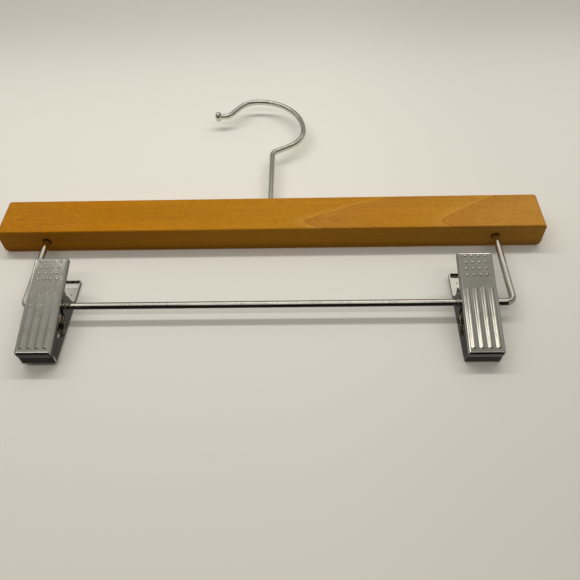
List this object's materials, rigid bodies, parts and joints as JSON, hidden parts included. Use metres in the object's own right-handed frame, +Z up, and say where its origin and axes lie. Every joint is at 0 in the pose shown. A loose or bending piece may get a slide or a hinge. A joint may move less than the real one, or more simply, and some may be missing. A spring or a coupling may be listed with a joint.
{
  "type": "skirt hanger",
  "caption": "Straight wooden skirt hanger with a swivel hook and a wire rail on which sprung steel clips slide, swing and open.",
  "frame": {"origin": "underside of the hook's crown, where the closet rail sits", "axes": "as it hangs: +Z up, +X along the crossbar to the right, -Y out of the front"},
  "size_m": [0.356, 0.0298, 0.2463],
  "materials": {
    "varnished_wood": "honey-coloured clear varnish, satin to gloss",
    "bright_wire": "bright plated drawn wire",
    "plated_sheet": "bright plated pressed sheet steel",
    "spring_wire": "oiled spring steel",
    "rivet_tube": "plated thin tube with rolled rims"
  },
  "bodies": {
    "frame": {"crossbar": "varnished_wood", "wire_rail": "bright_wire"},
    "hook": {"swivel_hook": "bright_wire"},
    "left_tube": {"left_clip_tube": "rivet_tube"},
    "left_rear": {"left_rear_jaw": "plated_sheet", "left_clip_spring": "spring_wire"},
    "left_front": {"left_front_jaw": "plated_sheet"},
    "right_tube": {"right_clip_tube": "rivet_tube"},
    "right_rear": {"right_rear_jaw": "plated_sheet", "right_clip_spring": "spring_wire"},
    "right_front": {"right_front_jaw": "plated_sheet"}
  },
  "joints": [
    {"name": "hook_swivel", "type": "hinge", "parent": "frame", "child": "hook", "pos_m": [0.01391, 0, -0.12249], "axis": [0, 0, 1], "continuous": true},
    {"name": "left_clip_slide", "type": "slide", "parent": "frame", "child": "left_tube", "axis": [1, 0, 0], "range_m": [-0.0003, 0.1195]},
    {"name": "left_clip_swing", "type": "hinge", "parent": "left_tube", "child": "left_rear", "pos_m": [-0.117, 0, -0.20599], "axis": [1, 0, 0], "continuous": true},
    {"name": "left_jaw_open", "type": "hinge", "parent": "left_rear", "child": "left_front", "pos_m": [-0.117, 0, -0.20599], "axis": [-1, 0, 0], "range_deg": [0, 40], "stiffness_Nm_per_rad": 0.19, "springref_deg": -37.24, "deforming": ["left_clip_spring"]},
    {"name": "right_clip_slide", "type": "slide", "parent": "frame", "child": "right_tube", "axis": [1, 0, 0], "range_m": [-0.1128, 0.007]},
    {"name": "right_clip_swing", "type": "hinge", "parent": "right_tube", "child": "right_rear", "pos_m": [0.13811, 0, -0.20599], "axis": [1, 0, 0], "continuous": true},
    {"name": "right_jaw_open", "type": "hinge", "parent": "right_rear", "child": "right_front", "pos_m": [0.13811, 0, -0.20599], "axis": [-1, 0, 0], "range_deg": [0, 40], "stiffness_Nm_per_rad": 0.19, "springref_deg": -37.24, "deforming": ["right_clip_spring"]}
  ]
}
